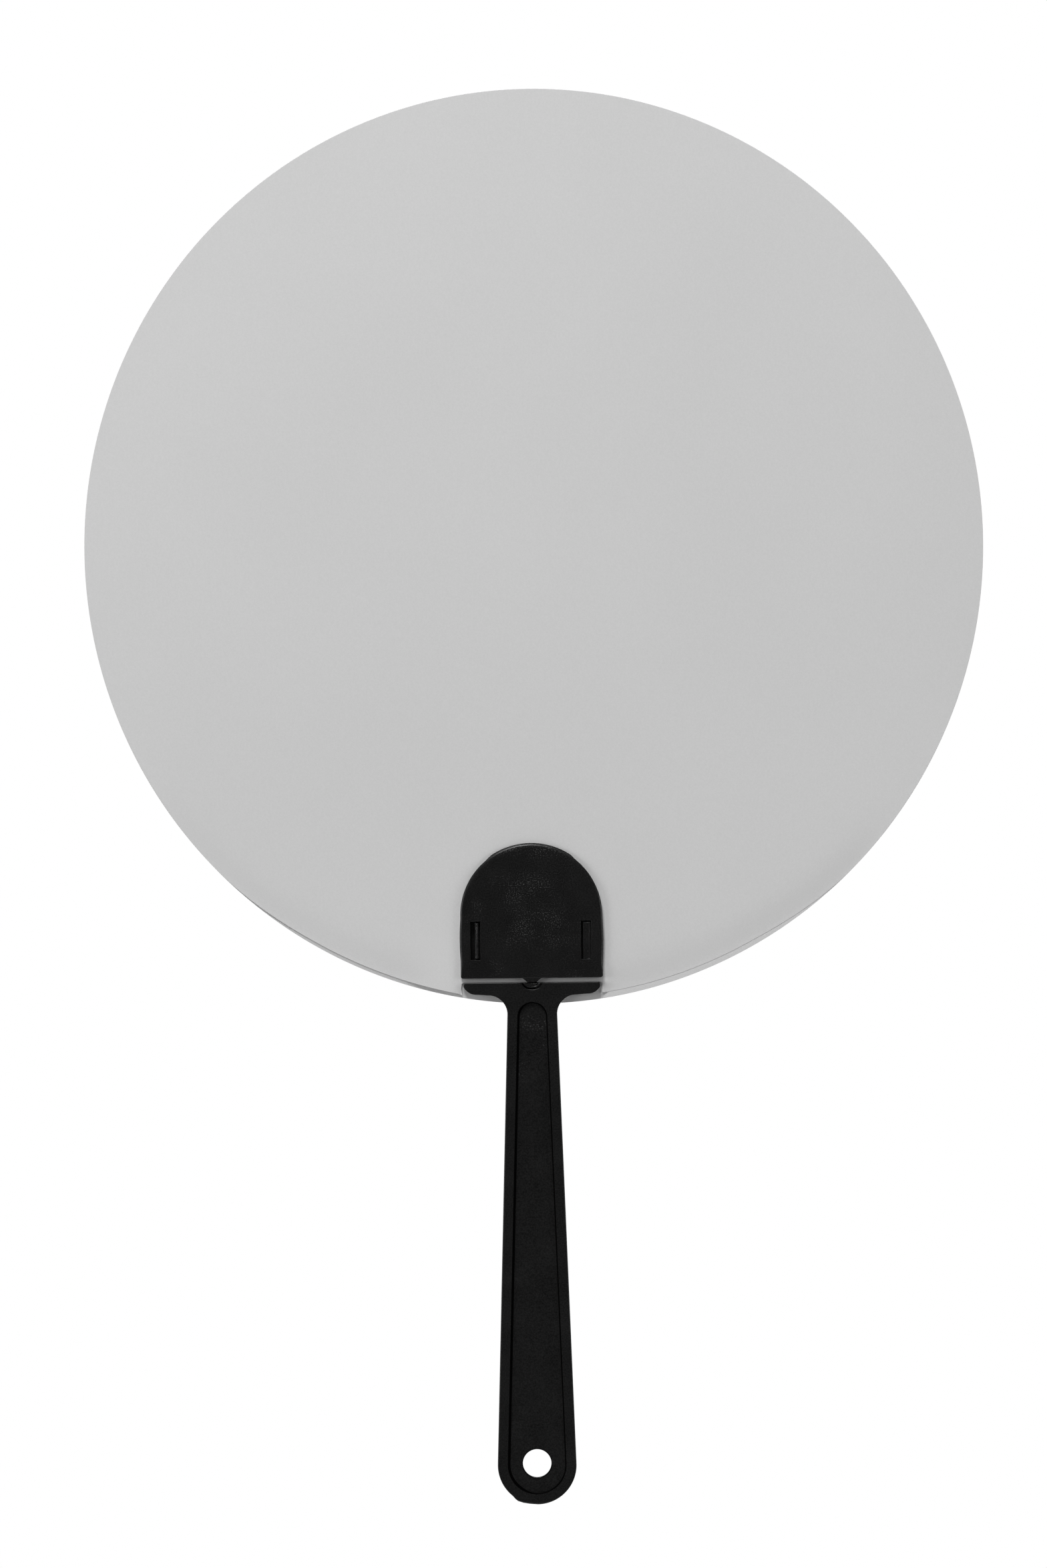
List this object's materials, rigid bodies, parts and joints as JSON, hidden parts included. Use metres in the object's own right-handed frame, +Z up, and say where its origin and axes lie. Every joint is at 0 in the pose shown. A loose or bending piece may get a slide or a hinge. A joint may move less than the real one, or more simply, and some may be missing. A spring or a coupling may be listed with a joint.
{
  "type": "round hand fan",
  "caption": "Flat round hand fan: an oval leaf of thin sheets held in a clip handle with a folding flap, snap catches and a hanging hole.",
  "frame": {"origin": "centre of the hanging hole, halfway through the stem's thickness", "axes": "+Z up along the handle towards the leaf, the front with the flap faces -Y, +X to the right seen from the front"},
  "size_m": [0.2454, 0.005, 0.3867],
  "materials": {
    "black_plastic": "fine moulded grain, satin",
    "grey_sheet": "matte, faint fine texture",
    "grey_sheet_back": "matte, faint fine texture"
  },
  "bodies": {
    "fan": {"handle": "black_plastic", "clip_plate": "black_plastic", "snap_hook_left": "black_plastic", "snap_hook_right": "black_plastic", "front_sheet": "grey_sheet", "back_sheet": "grey_sheet_back", "hinge_web": "black_plastic"},
    "flap": {"clip_flap": "black_plastic"}
  },
  "joints": [
    {"name": "flap_hinge", "type": "hinge", "parent": "fan", "child": "flap", "pos_m": [0, -0.00122, 0.13137], "axis": [1, 0, 0], "range_deg": [0, 80]}
  ]
}
